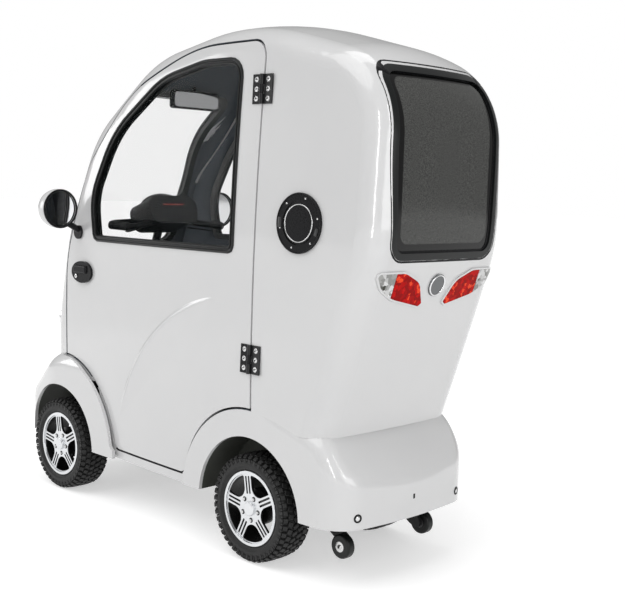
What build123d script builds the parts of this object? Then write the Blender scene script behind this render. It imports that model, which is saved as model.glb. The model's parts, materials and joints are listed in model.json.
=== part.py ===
from build123d import *
import math
import os

# Enclosed mobility scooter for one rider, in millimetres.
# It faces -Y, its left side is +X and it stands on the floor at Z = 0.
# The working frame has Y = 0 midway between the axles.
# At the end every piece moves along Y, so the stored origin is under the middle of the whole.

# Running gear
wheelbase = 1034
axle_z = 165
tyre_radius = 165
tyre_width = 115
wheel_x = 242
rim_radius = 114
rim_dish = 10.5
arch_radius = 220
liner_wall = 4
front_liner_x = 92
rear_liner_x = 165
kingpin_x = 166
front_y = -wheelbase / 2
rear_y = wheelbase / 2

# Clearance of pieces that seat in one another
fit = 0.3

# Cabin shell
wall = 26
side_bow = 9500
half_width = 313
widest_y = 400
widest_z = 750
loft_half = 330
corner_radius = 80
split_z = 438
floor_z = 178

# Side outline of the cabin, from the rear crease up and over to the nose and back.
# Columns: y and z on the centre line, y and z at loft_half, radius of the corner.
cabin_corners = (
    (812, 425, 798, 425, 0),
    (990, 970, 980, 970, 500),
    (990, 1490, 976, 1440, 260),
    (420, 1637, 420, 1584, 900),
    (-50, 1552, -30, 1492, 500),
    (-405, 1315, -335, 1258, 400),
    (-600, 930, -485, 930, 600),
    (-665, 620, -540, 620, 500),
    (-665, 425, -540, 425, 0),
    (-315, 425, -315, 425, 0),
    (-285, 395, -285, 395, 0),
    (-285, floor_z, -285, floor_z, 0),
    (285, floor_z, 285, floor_z, 0),
    (285, 290, 285, 290, 0),
    (388, 425, 388, 425, 0),
)

# Lower mouldings
skirt_wall = 12
skirt_z = 178
shoulder_radius = 60

# Doors
door_gap = 7
door_front_arc = 334
door_rear_arc = 308
door_corner = 28
# Columns: y, z, corner radius
door_corners = (
    (-512, 212, 0),
    (-512, 845, 350),
    (-405, 1145, 350),
    (-140, 1415, 450),
    (200, 1541, 600),
    (524, 1545, 55),
    (524, 212, 0),
)

# Door windows, y, z, corner radius
door_window_corners = (
    (-326, 917, 28),
    (-358, 1070, 180),
    (-230, 1292, 400),
    (40, 1462, 350),
    (250, 1502, 300),
    (438, 1502, 62),
    (438, 925, 24),
)
seal_width = 20
seal_lip = 6
lamp_stand = 5
glass_depth = 7
glass_thickness = 5

# Rear window, x, z, corner radius
rear_window_corners = (
    (226, 938, 52),
    (240, 1220, 1500),
    (228, 1468, 60),
)

# Windscreen, x, z, corner radius
windscreen_corners = (
    (226, 880, 55),
    (220, 1150, 900),
    (188, 1438, 60),
)

os.makedirs("parts", exist_ok=True)

pieces = {}


def save(name, shape):
    pieces[name] = shape


def both(shape):
    return Compound([shape, mirror(shape, about=Plane.YZ)])


def save_pair(name, left):
    save(name + "_left", left)
    save(name + "_right", mirror(left, about=Plane.YZ))


def inset_outline(corners, inset):
    moved = []
    count = len(corners)
    for i in range(count):
        before = Vector(*corners[i - 1][:2])
        here = Vector(*corners[i][:2])
        after = Vector(*corners[(i + 1) % count][:2])
        arriving = (here - before).normalized()
        leaving = (after - here).normalized()
        n = Vector(-arriving.Y, arriving.X)
        m = Vector(-leaving.Y, leaving.X)
        step = (n + m) * (inset / (1 + n.dot(m)))
        convex = arriving.cross(leaving).Z > 0
        radius = corners[i][2]
        if radius:
            radius = max(radius - inset, 1) if convex else radius + inset
        moved.append((here.X + step.X, here.Y + step.Y, radius))
    return moved


def outline_wire(corners, place):
    """A closed wire of lines and tangent arcs. place maps (a, b) to a point in space."""
    count = len(corners)
    knots = []
    for i in range(count):
        here = Vector(*corners[i][:2])
        arriving = (here - Vector(*corners[i - 1][:2])).normalized()
        leaving = (Vector(*corners[(i + 1) % count][:2]) - here).normalized()
        radius = corners[i][2]
        if radius == 0:
            knots.append((here, None, here))
            continue
        turn = math.radians(arriving.get_angle(leaving))
        reach = radius * math.tan(turn / 2)
        inward = (leaving - arriving).normalized()
        crown = here + inward * (radius / math.cos(turn / 2) - radius)
        knots.append((here - arriving * reach, crown, here + leaving * reach))
    edges = []
    for i in range(count):
        first, crown, last = knots[i]
        if crown is not None:
            edges.append(Edge.make_three_point_arc(place(first), place(crown), place(last)))
        edges.append(Edge.make_line(place(last), place(knots[(i + 1) % count][0])))
    return Wire(edges)


def side_prism(corners, x_from, x_to):
    """Solid with a (y, z) outline between two X planes."""
    wire = outline_wire(corners, lambda p: Vector(x_from, p.X, p.Y))
    return Solid.extrude(Face(wire), Vector(x_to - x_from, 0, 0))


def front_prism(corners, y_from, y_to):
    """Solid with an (x, z) outline between two Y planes."""
    wire = outline_wire(corners, lambda p: Vector(p.X, y_from, p.Y))
    return Solid.extrude(Face(wire), Vector(0, y_to - y_from, 0))


def plan_prism(corners, z_from, z_to):
    """Solid with an (x, y) outline between two Z planes."""
    wire = outline_wire(corners, lambda p: Vector(p.X, p.Y, z_from))
    return Solid.extrude(Face(wire), Vector(0, 0, z_to - z_from))


def whole_outline(half):
    """Adds the mirrored side to the +X half of an outline. A corner on X = 0 is kept once."""
    other = [(-x, b, r) for x, b, r in reversed(half) if x > 0]
    return list(half) + other


def x_cylinder(radius, y, z, x_from, x_to):
    return Pos((x_from + x_to) / 2, y, z) * Rot(0, 90, 0) * Cylinder(radius, abs(x_to - x_from))


def y_cylinder(radius, x, z, y_from, y_to):
    return Pos(x, (y_from + y_to) / 2, z) * Rot(90, 0, 0) * Cylinder(radius, abs(y_to - y_from))


def block(x0, x1, y0, y1, z0, z1):
    return Pos((x0 + x1) / 2, (y0 + y1) / 2, (z0 + z1) / 2) * Box(x1 - x0, y1 - y0, z1 - z0)


def rod(start, end, radius):
    a = Vector(*start)
    b = Vector(*end)
    plane = Plane(origin=a, z_dir=b - a)
    return Solid.extrude(Face(Wire(Edge.make_circle(radius, plane))), b - a)


# The cabin's outer form, and smaller copies of it for the wall and the glass

def cabin_form(inset):
    centre = inset_outline([(c[0], c[1], c[4]) for c in cabin_corners], inset)
    flank = inset_outline([(c[2], c[3], c[4]) for c in cabin_corners], inset)
    wires = [
        outline_wire(flank, lambda p: Vector(-loft_half, p.X, p.Y)),
        outline_wire(centre, lambda p: Vector(0, p.X, p.Y)),
        outline_wire(flank, lambda p: Vector(loft_half, p.X, p.Y)),
    ]
    ball = Pos(half_width - side_bow, widest_y, widest_z) * Sphere(side_bow - inset)
    body = Solid.make_loft(wires) & ball & mirror(ball, about=Plane.YZ)
    rim = []
    for edge in body.edges():
        middle = edge @ 0.5
        runs_along = abs((edge @ 0).X - (edge @ 1).X) < 100
        if runs_along and middle.Z > 430 + inset:
            rim.append(edge)
    return body.fillet(corner_radius - inset, rim)


outer_form = cabin_form(0)
inner_form = cabin_form(wall)
glass_outer = cabin_form(glass_depth)
glass_inner = cabin_form(glass_depth + glass_thickness)
proud_form = cabin_form(-lamp_stand)
shell = outer_form - inner_form
pane = glass_outer - glass_inner

# Cutting prisms for the doors and the windows

def door_prism(grow):
    corners = inset_outline(list(reversed(door_corners)), -grow)
    body = side_prism(corners, 150, 450)
    body -= x_cylinder(door_front_arc - grow, front_y, axle_z, 100, 500)
    body -= x_cylinder(door_rear_arc - grow, rear_y, axle_z, 100, 500)
    lower = []
    for edge in body.edges().filter_by(Axis.X):
        if edge.center().Z < 260:
            lower.append(edge)
    return body.fillet(door_corner, lower)


door_cut = door_prism(door_gap)
door_blank = door_prism(0)
door_windows = list(reversed(door_window_corners))
door_window_cut = side_prism(door_windows, 150, 450)
door_window_inner = side_prism(inset_outline(door_windows, seal_width), 150, 450)
door_glass_cut = side_prism(inset_outline(door_windows, seal_width - seal_lip), 150, 450)

rear_window = whole_outline(rear_window_corners)
rear_window_cut = front_prism(rear_window, 600, 1100)
rear_window_inner = front_prism(inset_outline(rear_window, seal_width), 600, 1100)
rear_glass_cut = front_prism(inset_outline(rear_window, seal_width - seal_lip), 600, 1100)

windscreen = whole_outline(windscreen_corners)
windscreen_cut = front_prism(windscreen, -800, 0)
windscreen_inner = front_prism(inset_outline(windscreen, seal_width), -800, 0)
windscreen_glass_cut = front_prism(inset_outline(windscreen, seal_width - seal_lip), -800, 0)

# Lower mouldings: the nose with the front wings, and the tail with the rear wings

tail_plan = (
    (306, 100, 0),
    (308, 640, 1500),
    (299, 887, 110),
    (0, 917, 1400),
)
tail_side = (
    (100, skirt_z, 0),
    (930, skirt_z, 0),
    (930, 262, 0),
    (800, 440, 160),
    (560, 516, 300),
    (100, 500, 0),
)
nose_plan = (
    (0, -815, 500),
    (262, -780, 110),
    (301, -560, 400),
    (302, -100, 0),
)
nose_side = (
    (-100, skirt_z, 0),
    (-100, 500, 0),
    (-560, 512, 250),
    (-830, 284, 0),
    (-830, skirt_z, 0),
)


def shoulder_edges(form):
    """The edges where the upright walls meet the top."""
    found = ShapeList()
    for face in form.faces():
        middle = face.center()
        if abs(face.normal_at(middle).Z) > 0.01 or abs(middle.Y) < 101:
            continue
        for edge in face.edges():
            rise = abs((edge @ 0).Z - (edge @ 1).Z)
            if (edge @ 0.5).Z > 250 and rise < 0.99 * edge.length and abs((edge @ 0.5).Y) > 101:
                if not any(edge.is_same(other) for other in found):
                    found.append(edge)
    return found


def skirt_form(plan, side, inset, drop):
    outline = inset_outline(whole_outline(plan), inset)
    profile = []
    for y, z, r in inset_outline(side, inset):
        profile.append((y, z - drop if z < skirt_z + inset + 1 else z, r))
    flat = plan_prism(outline, skirt_z - drop, 560)
    form = flat & side_prism(profile, -400, 400)
    return form.fillet(shoulder_radius - inset, shoulder_edges(form))


def skirt(plan, side, wheel_y, open_from, open_to):
    body = skirt_form(plan, side, 0, 0) - skirt_form(plan, side, skirt_wall, 40)
    body -= block(-400, 400, min(open_from, open_to), max(open_from, open_to), 100, 600)
    body -= outer_form
    for x in (-1, 1):
        body -= x_cylinder(arch_radius, wheel_y, axle_z, 100 * x, 450 * x)
    body -= door_cut
    body -= mirror(door_cut, about=Plane.YZ)
    return body


tail_body = skirt(tail_plan, tail_side, rear_y, 0, 215)
nose_body = skirt(nose_plan, nose_side, front_y, 0, -175)
save("tail_body", tail_body)
save("nose_body", nose_body)

# Cabin shell and the floor tub under it

upper = shell - block(-500, 500, -1000, 1200, 0, split_z)
upper = upper - door_cut - mirror(door_cut, about=Plane.YZ) - rear_window_cut - windscreen_cut
save("cabin_shell", upper)
tub = shell & block(-500, 500, -1000, 1200, 0, split_z)
tub = tub - door_cut - mirror(door_cut, about=Plane.YZ)
save("floor_tub", tub)

# Wheel wells

liners = []
for plan, side, wheel_y, inner_x in (
    (tail_plan, tail_side, rear_y, rear_liner_x),
    (nose_plan, nose_side, front_y, front_liner_x),
):
    well = x_cylinder(arch_radius + liner_wall, wheel_y, axle_z, inner_x, 305)
    well -= x_cylinder(arch_radius, wheel_y, axle_z, inner_x + liner_wall, 320)
    well -= block(0, 400, wheel_y - 300, wheel_y + 300, -200, skirt_z)
    well -= x_cylinder(36, wheel_y, axle_z, 80, inner_x + 20)
    well -= block(80, inner_x + 20, wheel_y - 36, wheel_y + 36, 100, 200)
    well &= skirt_form(plan, side, skirt_wall + 0.3, 60)
    liners.append(well)
    liners.append(mirror(well, about=Plane.YZ))
save("wheel_wells", Compound(liners))

# Doors with their glass and seals. A shallow flare swells from nothing to flare_height at the crease.

crease_radius = 674
crease_y = 487
crease_z = 122
crease_top = (373, 786)
crease_foot = (-146, 336)
flare_height = 4


def flank_x(y, z):
    run = math.hypot(y - widest_y, z - widest_z)
    return half_width - side_bow + math.sqrt(side_bow ** 2 - run ** 2)


def flare_ball():
    """The flank's ball, tilted about the chord that joins the two ends of the crease."""
    chord = Vector(crease_top[0] - crease_foot[0], crease_top[1] - crease_foot[1]).normalized()
    away = Vector(-chord.Y, chord.X)
    middle_y = (crease_top[0] + crease_foot[0]) / 2
    middle_z = (crease_top[1] + crease_foot[1]) / 2
    reach = math.hypot(middle_y - crease_y, middle_z - crease_z)
    tilt = flare_height / (crease_radius - reach) * side_bow
    y = widest_y + away.X * tilt
    z = widest_z + away.Y * tilt
    run = math.hypot(middle_y - y, middle_z - z)
    x = flank_x(middle_y, middle_z) - math.sqrt(side_bow ** 2 - run ** 2)
    return Pos(x, y, z) * Sphere(side_bow)


flare = x_cylinder(crease_radius, crease_y, crease_z, 200, 400)
flare = (flare & flare_ball() & door_blank) - outer_form
door = ((shell & door_blank) - door_window_cut) + flare
save_pair("door", door)
door_glass = pane & door_glass_cut
save_pair("door_glass", door_glass)
door_seal = (shell & door_window_cut) - door_window_inner - door_glass
save_pair("door_seal", door_seal)

rear_glass = pane & rear_glass_cut
save("rear_window", rear_glass)
save("rear_window_frame", (shell & rear_window_cut) - rear_window_inner - rear_glass)
screen_glass = pane & windscreen_glass_cut
save("windscreen", screen_glass)
save("windscreen_seal", (shell & windscreen_cut) - windscreen_inner - screen_glass)

# Door hinges: two leaves each, knuckles on a common leaning axis

hinge_y = 527.5
hinge_top_z = 1404
hinge_low_z = 621.5
hinge_stand = 8
hinge_inset = 0.5
hinge_margin = 8
hinge_play = 0.4
pin_play = 0.3
leaf_width = 33
leaf_height = 85
leaf_thickness = 4
knuckle_radius = 6
pin_radius = 3


axis_top = Vector(flank_x(hinge_y, hinge_top_z) + hinge_stand, hinge_y, hinge_top_z)
axis_low = Vector(flank_x(hinge_y, hinge_low_z) + hinge_stand, hinge_y, hinge_low_z)
lean = math.degrees(math.atan2(axis_low.X - axis_top.X, hinge_top_z - hinge_low_z))


def hinge(centre):
    place = Pos(*centre) * Rot(0, -lean, 0)
    third = leaf_height / 3
    back = hinge_inset - hinge_stand
    front = back + leaf_thickness
    tall = leaf_height / 2
    wide = leaf_width + hinge_margin
    door_leaf = block(back, front, -wide, -hinge_margin, -tall, tall)
    door_leaf += block(back, front, -hinge_margin - 0.1, 0, hinge_play - third / 2, third / 2 - hinge_play)
    door_leaf += Cylinder(knuckle_radius, third - 2 * hinge_play)
    door_leaf -= Cylinder(pin_radius + pin_play, third + 2)
    post_leaf = block(back, front, hinge_margin, wide, -tall, tall)
    for side in (-1, 1):
        at = Pos(0, 0, side * third)
        post_leaf += at * block(back, front, 0, hinge_margin + 0.1, -third / 2, third / 2)
        post_leaf += at * Cylinder(knuckle_radius, third)
    post_leaf += Cylinder(pin_radius, leaf_height)
    return place * (door_leaf - outer_local(place)), place * (post_leaf - outer_local(place))


def outer_local(place):
    return place.inverse() * outer_form


door_leaves = []
post_leaves = []
for centre in (axis_top, axis_low):
    moving, fixed = hinge(centre)
    door_leaves.append(moving)
    post_leaves.append(fixed)
    post_leaves.append(mirror(fixed, about=Plane.YZ))
save("hinge_posts", Compound(post_leaves))

# Door handle and mirror. Each foot is sunk behind the flank and then cut to it.

handle_y = -388
handle_z = 804
handle_long = 60
handle_tall = 38
handle_proud = 13
paddle_rear = 34
paddle_front = 44
paddle_low = 4
paddle_high = 24
paddle_back = 6
paddle_proud = 20
foot_sink = 12
handle_x = flank_x(handle_y, handle_z)
plate = Pos(handle_x - foot_sink, handle_y, handle_z) * Rot(0, 90, 0) * Solid.extrude(
    Face(Wire(Edge.make_ellipse(handle_tall, handle_long))), Vector(0, 0, foot_sink + handle_proud))
paddle = block(handle_x + paddle_back, handle_x + paddle_proud, handle_y - paddle_front, handle_y + paddle_rear,
               handle_z - paddle_low, handle_z + paddle_high)
paddle = paddle.fillet(paddle_back, paddle.edges())
handle = (plate - outer_form) + paddle

mirror_y = -428
mirror_z = 1024
mirror_x = 362
mirror_radius = 68
mirror_wall = 4
mirror_lip = 16
mirror_glass_y = 8
mirror_glass_thickness = 4
foot_z = 942
foot_radius = 24
foot_proud = 8
stalk_radius = 11
stalk_inset = 18
stalk_rise = 44
foot_x = flank_x(mirror_y, foot_z)
bowl_centre = Pos(mirror_x, mirror_y, mirror_z)
stalk_end = (mirror_x - stalk_inset, mirror_y - stalk_radius / 2, foot_z + stalk_rise)
stalk = rod((foot_x - foot_sink, mirror_y, foot_z), stalk_end, stalk_radius)
stalk += x_cylinder(foot_radius, mirror_y, foot_z, foot_x - foot_sink, foot_x + foot_proud)
stalk = (stalk - outer_form) - bowl_centre * Sphere(mirror_radius)
bowl = bowl_centre * (Sphere(mirror_radius) - Sphere(mirror_radius - mirror_wall))
bowl &= block(mirror_x - 90, mirror_x + 90, mirror_y - 90, mirror_y + mirror_lip, mirror_z - 90, mirror_z + 90)
glass_middle = mirror_glass_y + mirror_glass_thickness / 2
glass_radius = math.sqrt((mirror_radius - mirror_wall) ** 2 - glass_middle ** 2) - fit
mirror_glass = y_cylinder(glass_radius, mirror_x, mirror_z, mirror_y + mirror_glass_y - mirror_glass_thickness / 2,
                          mirror_y + glass_middle)
save_pair("door_fittings", Compound([handle, stalk] + door_leaves))
save_pair("mirror_shell", bowl)
save_pair("mirror_glass", mirror_glass)

# Lamps, cap and disc on the tail

lamp_outline = (
    (266, 908, 14),
    (150, 908, 70),
    (78, 878, 60),
    (42, 812, 8),
    (60, 800, 8),
    (180, 826, 120),
    (238, 856, 60),
)
lamp_split_x = 186
lamp_rim_width = 5
lamp_split_gap = 2
stand_layer = proud_form - outer_form
lamp_blank = stand_layer & front_prism(lamp_outline, 700, 1100)
lamp_inner = inset_outline(lamp_outline, lamp_rim_width)
lamp = stand_layer & front_prism(inset_outline(lamp_inner, fit), 700, 1100)
save("tail_bezels", both(lamp_blank - front_prism(lamp_inner, 700, 1100)))
clear_lamp = lamp & block(lamp_split_x + lamp_split_gap / 2, 400, 700, 1100, 700, 1000)
red_lamp = lamp & block(0, lamp_split_x - lamp_split_gap / 2, 700, 1100, 700, 1000)
save("tail_lamps", both(clear_lamp))
save("tail_lenses", both(red_lamp))
disc_z = 864
disc_radius = 32
disc = stand_layer & y_cylinder(disc_radius, 0, disc_z, 700, 1100)
save("tail_disc", disc)
cap_y = 706
cap_z = 1028
cap_radius = 85
cap_groove = 58
cap_groove_width = 4
groove_x = flank_x(cap_y, cap_z) + lamp_stand / 2
cap = stand_layer & x_cylinder(cap_radius, cap_y, cap_z, 200, 400)
groove = x_cylinder(cap_groove + cap_groove_width, cap_y, cap_z, groove_x, 400)
cap -= groove - x_cylinder(cap_groove, cap_y, cap_z, groove_x - 10, 410)
save("side_cap", cap)

# Head lamps, indicators and grille on the nose

lamp_x = 150
lamp_z = 606
lamp_radius = 52
lamp_rim = 7
face_y = -668
lens_crown = 7
lens_ball = 120
lamp_back = -560
bezel = y_cylinder(lamp_radius, lamp_x, lamp_z, face_y, lamp_back)
bezel -= y_cylinder(lamp_radius - lamp_rim, lamp_x, lamp_z, face_y - 10, lamp_back)
bezel -= outer_form
lens = y_cylinder(lamp_radius - lamp_rim - fit, lamp_x, lamp_z, face_y - lens_crown, lamp_back)
lens &= Pos(lamp_x, face_y - lens_crown + lens_ball, lamp_z) * Sphere(lens_ball)
lens -= outer_form
save("headlamp_bezels", both(bezel))
save("headlamp_lenses", both(lens))

trim_stand = 4
nose_proud = skirt_form(nose_plan, nose_side, -trim_stand, 0) - skirt_form(nose_plan, nose_side, 0, 60)
signal_x = 212
signal_z = 330
signal_radius = 24
signal = nose_proud & y_cylinder(signal_radius, signal_x, signal_z, -850, -650)
save("indicators", both(signal))
grille_half = 95
grille_low = 226
grille_frame = 8
slat_count = 3
slat_pitch = 18
slat_gap = 10
grille_top = grille_low + slat_count * slat_pitch + grille_frame
grille = nose_proud & block(-grille_half, grille_half, -900, -700, grille_low, grille_top)
for i in range(slat_count):
    z = grille_low + grille_frame + slat_pitch * i
    grille -= block(grille_frame - grille_half, grille_half - grille_frame, -900, -700, z, z + slat_gap)
save("grille", grille)

# Chassis frame. Two box rails with three cross members run flat under the floor.

rail_x = 60
rail_half = 12
rail_low = 155
rail_front = -620
cross_half = 15
cross_front_y = -235
cross_middle_y = 115
kick_y = 395
rails = block(rail_x - rail_half, rail_x + rail_half, rail_front, kick_y, rail_low, floor_z)
rails += mirror(rails, about=Plane.YZ)
for y in (cross_front_y, cross_middle_y, kick_y - cross_half):
    rails += block(-rail_x - rail_half, rail_x + rail_half, y - cross_half, y + cross_half, rail_low, floor_z)
save("chassis_frame", rails)

# Rear frame. Its rails kick up over the drive and come down at the tail, where a bar carries
# the anti-tip arms and a plate with the tie-down eye.

post_deep = 30
kick_top = 424
kick_tall = 34
rail_end_cut = 10
tail_rail_y = 776
tail_rail_half = 14
pivot_half = 135
pivot_top = 180
shock_bar_from = 520
shock_bar_to = 560
arm_from = 690
arm_low = 150
arm_top = 176
arm_bar_from = 702
arm_bar_to = 732
arm_bar_thick = 14
tail_bar_half = 200
eye_y = 816
eye_radius = 9
eye_z = 163
eye_thickness = 10
eye_plate_half = 30
eye_plate_end = 22
tip_x = 180
arm_x = tip_x - 28
arm_width = 12
rail_in = rail_x - rail_half
rail_out = rail_x + rail_half
tail_from = tail_rail_y - tail_rail_half
tail_to = tail_rail_y + tail_rail_half
kick = block(rail_in, rail_out, kick_y, kick_y + post_deep, rail_low, kick_top)
kick += block(rail_in, rail_out, kick_y, tail_to, kick_top - kick_tall, kick_top)
kick += block(rail_in, rail_out, tail_from, tail_to, arm_low, kick_top)
rail_corner = Box(4 * rail_half, rail_end_cut * math.sqrt(2), rail_end_cut * math.sqrt(2))
kick -= Pos(rail_x, tail_to, kick_top) * Rot(45, 0, 0) * rail_corner
kick += block(rail_in, rail_out, arm_bar_from, tail_from, arm_top - arm_bar_thick, arm_top + arm_bar_thick)
kick += mirror(kick, about=Plane.YZ)
kick += block(-pivot_half, pivot_half, kick_y, kick_y + post_deep, rail_low, pivot_top)
kick += block(-pivot_half, pivot_half, shock_bar_from, shock_bar_to, kick_top - kick_tall, kick_top)
kick += block(-tail_bar_half, tail_bar_half, tail_from, tail_to, arm_low, arm_top)
kick += block(-arm_x - arm_width, arm_x + arm_width, arm_bar_from, arm_bar_to, arm_top, arm_top + arm_bar_thick)
kick += block(-eye_plate_half, eye_plate_half, tail_to, eye_y + eye_plate_end,
              eye_z - eye_thickness / 2, eye_z + eye_thickness / 2)
kick -= Pos(0, eye_y, eye_z) * Cylinder(eye_radius, 4 * eye_thickness)
save("rear_frame", kick)

# Front axle beam and the steering knuckles. Each knuckle is a fork over the beam's end, with a stub axle.

beam_low = 120
beam_tall = 32
beam_half = 16
eye_outer = 15
saddle_half = 80
pin_hole = 6.4
kingpin = 6
fork_play = 1.2
fork_radius = 14
fork_thick = 18
fork_plate_from = 16
fork_plate_to = 23
fork_low = 101
fork_high = 184
fork_arm_half = 12
stub_radius = 9
stub_end = 262
beam_top = beam_low + beam_tall
beam_end = kingpin_x - eye_outer + 3
beam = block(-beam_end, beam_end, front_y - beam_half, front_y + beam_half, beam_low, beam_top)
beam += block(-saddle_half, saddle_half, front_y - beam_half, front_y + beam_half, beam_low, rail_low)
for x in (-kingpin_x, kingpin_x):
    beam += Pos(x, front_y, beam_low + beam_tall / 2) * Cylinder(eye_outer, beam_tall)
    beam -= Pos(x, front_y, beam_low + beam_tall / 2) * Cylinder(pin_hole, 2 * beam_tall)
save("front_axle", beam)

fork_floor = beam_top + fork_play
fork_roof = beam_low - fork_play
knuckle = Pos(kingpin_x, front_y, fork_floor + fork_thick / 2) * Cylinder(fork_radius, fork_thick)
knuckle += Pos(kingpin_x, front_y, fork_roof - fork_thick / 2) * Cylinder(fork_radius, fork_thick)
knuckle += block(kingpin_x + fork_plate_from, kingpin_x + fork_plate_to, front_y - fork_radius,
                 front_y + fork_radius, fork_low, fork_high)
for low, high in ((fork_floor, fork_floor + fork_thick), (fork_roof - fork_thick, fork_roof)):
    knuckle += block(kingpin_x, kingpin_x + fork_plate_from + 4, front_y - fork_arm_half,
                     front_y + fork_arm_half, low, high)
knuckle += Pos(kingpin_x, front_y, beam_low + beam_tall / 2) * Cylinder(kingpin, beam_tall + 2 * fork_thick)
knuckle += x_cylinder(stub_radius, front_y, axle_z, kingpin_x + fork_plate_from, stub_end)
save_pair("knuckle", knuckle)

# Drive: the motor block on the rear axle, with its trailing arms and the shock absorbers above it

motor_half = 72
motor_from = 435
motor_to = 600
motor_low = 96
motor_high = 260
tube_radius = 24
tube_half = 172
trail_in = 105
trail_low = 158
trail_high = 176
drive = block(-motor_half, motor_half, motor_from, motor_to, motor_low, motor_high)
drive += x_cylinder(tube_radius, rear_y, axle_z, -tube_half, tube_half)
drive += x_cylinder(stub_radius, rear_y, axle_z, -stub_end, stub_end)
for x0, x1 in ((trail_in, pivot_half), (-pivot_half, -trail_in)):
    drive += block(x0, x1, kick_y + post_deep, rear_y + 3, trail_low, trail_high)
save("rear_axle", drive)

shock_x = 120
shock_radius = 14
shock_y = (shock_bar_from + shock_bar_to) / 2
shock = rod((shock_x, rear_y + 11, axle_z + 21), (shock_x, shock_y - 4, kick_top - kick_tall), shock_radius)
shock -= x_cylinder(tube_radius + fit, rear_y, axle_z, -tube_half, tube_half)
shock -= block(0, 2 * shock_x, 0, 2 * rear_y, kick_top - kick_tall - fit, kick_top)
save("shock_absorbers", both(shock))

# Wheels

bead_radius = 110
bead_half = 47
lip_radius = 114
lip_width = 4.2
barrel_wall = 6.5
spoke_count = 5
spoke_phase = 46
spoke_width = 30
spoke_depth = 9
hub_curve = 32
rib_width = 5.5
slot_depth = 5
slot_from = 44
slot_to = 98
hub_radius = 30
cap_hub_radius = 22
drum_radius = 56
bore_radius = 9.3

# Half section of the tyre: radius, distance from its middle plane, corner radius
tyre_corners = (
    (bead_radius, -bead_half, 0),
    (lip_radius + 2, -bead_half, 0),
    (126, -tyre_width / 2, 8),
    (148, -tyre_width / 2, 24),
    (tyre_radius, -tyre_width / 2 + 13, 14),
)


def turned(corners):
    """Revolves a (radius, height) outline about Z."""
    wire = outline_wire(corners, lambda p: Vector(p.X, 0, p.Y))
    return revolve(Face(wire), Axis.Z)


def wheel(centre_y):
    other_half = [(r, -z, curve) for r, z, curve in reversed(tyre_corners)]
    tyre = turned(list(tyre_corners) + other_half)
    seat = bead_radius - fit
    bore = seat - barrel_wall
    edge = bead_half + fit
    rim = turned((
        (bore, -edge - lip_width, 0),
        (lip_radius, -edge - lip_width, 1.5),
        (lip_radius, -edge, 0),
        (seat, -edge, 0),
        (seat, edge, 0),
        (lip_radius, edge, 0),
        (lip_radius, edge + lip_width, 1.5),
        (bore + 1.5, edge + lip_width, 0),
        (bore, edge - 1, 0),
    ))
    face_z = tyre_width / 2 - rim_dish
    face = Pos(0, 0, face_z - spoke_depth / 2) * Cylinder(bore + 1, spoke_depth)
    half_turn = math.radians(180 / spoke_count)
    inner = spoke_width / 2 / math.sin(half_turn)
    far = bore + 20
    spread = (far - inner) * math.tan(half_turn)
    window_wire = outline_wire(
        ((inner, 0, hub_curve), (far, -spread, 0), (far, spread, 0)), lambda p: Vector(p.X, p.Y, 0))
    window = Solid.extrude(Face(window_wire), Vector(0, 0, spoke_depth * 4)) & Cylinder(bore - 2, 200)
    outer_corners = [e for e in window.edges().filter_by(Axis.Z) if e.center().X > 60]
    window = Pos(0, 0, face_z - spoke_depth * 3) * window.fillet(5, outer_corners)
    slot_width = (spoke_width - 3 * rib_width) / 2
    slot = Pos((slot_from + slot_to) / 2, 0, face_z) * Box(slot_to - slot_from, slot_width, slot_depth * 2)
    slot = slot.fillet(slot_width / 2.5, slot.edges().filter_by(Axis.Z))
    for i in range(spoke_count):
        turn = spoke_phase + 360 / spoke_count * i
        face -= Rot(0, 0, turn + 180 / spoke_count) * window
        for side in (-1, 1):
            face -= Rot(0, 0, turn) * Pos(0, side * (slot_width + rib_width) / 2, 0) * slot
    rim += face
    rim += Pos(0, 0, face_z / 2 - 9) * Cylinder(hub_radius, face_z + 18 - 2 * spoke_depth / 3)
    rim += Pos(0, 0, 7) * Cylinder(drum_radius, 30)
    cap_hub = Pos(0, 0, face_z + 2) * Cylinder(cap_hub_radius, 12)
    rim += cap_hub.fillet(4, cap_hub.edges().filter_by(GeomType.CIRCLE).sort_by(Axis.Z)[-1:])
    rim -= Pos(0, 0, -29) * Cylinder(bore_radius, 100)
    place = Pos(wheel_x, centre_y, axle_z) * Rot(0, 90, 0)
    return place * tyre, place * rim


for name, wheel_y in (("front", front_y), ("rear", rear_y)):
    tyre, rim = wheel(wheel_y)
    save_pair(name + "_tyre", tyre)
    save_pair(name + "_rim", rim)

# Anti-tip arms and wheels behind the tail. Each arm is a bent plate with a block that bolts under the bar.

tip_y = 800
tip_z = 100
tip_radius = 36
tip_half = 14
tip_bolt = 4
tip_play = 0.3
arm_block_to = 744
arm_block_out = 190
arm_corners = (
    (arm_from, arm_low, 6),
    (772, 96, 10),
    (tip_y, 84, 14),
    (tip_y + 16, tip_z, 14),
    (tip_y + 6, 120, 10),
    (arm_block_to, 162, 10),
    (arm_block_to, arm_top, 0),
    (arm_from, arm_top, 0),
)
arm = side_prism(arm_corners, arm_x, arm_x + arm_width)
arm += block(arm_x, arm_block_out, arm_bar_from, arm_block_to, arm_low, arm_top)
arm += x_cylinder(tip_bolt, tip_y, tip_z, arm_x, tip_x + tip_half + 6)
save("anti_tip_arms", both(arm))
small = x_cylinder(tip_radius, tip_y, tip_z, tip_x - tip_half, tip_x + tip_half)
small = small.fillet(6, small.edges().filter_by(GeomType.CIRCLE))
small -= x_cylinder(tip_bolt + tip_play, tip_y, tip_z, tip_x - 2 * tip_half, tip_x + 2 * tip_half)
save_pair("anti_tip_wheel", small)

# Seat on its box, with the battery inside

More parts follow.
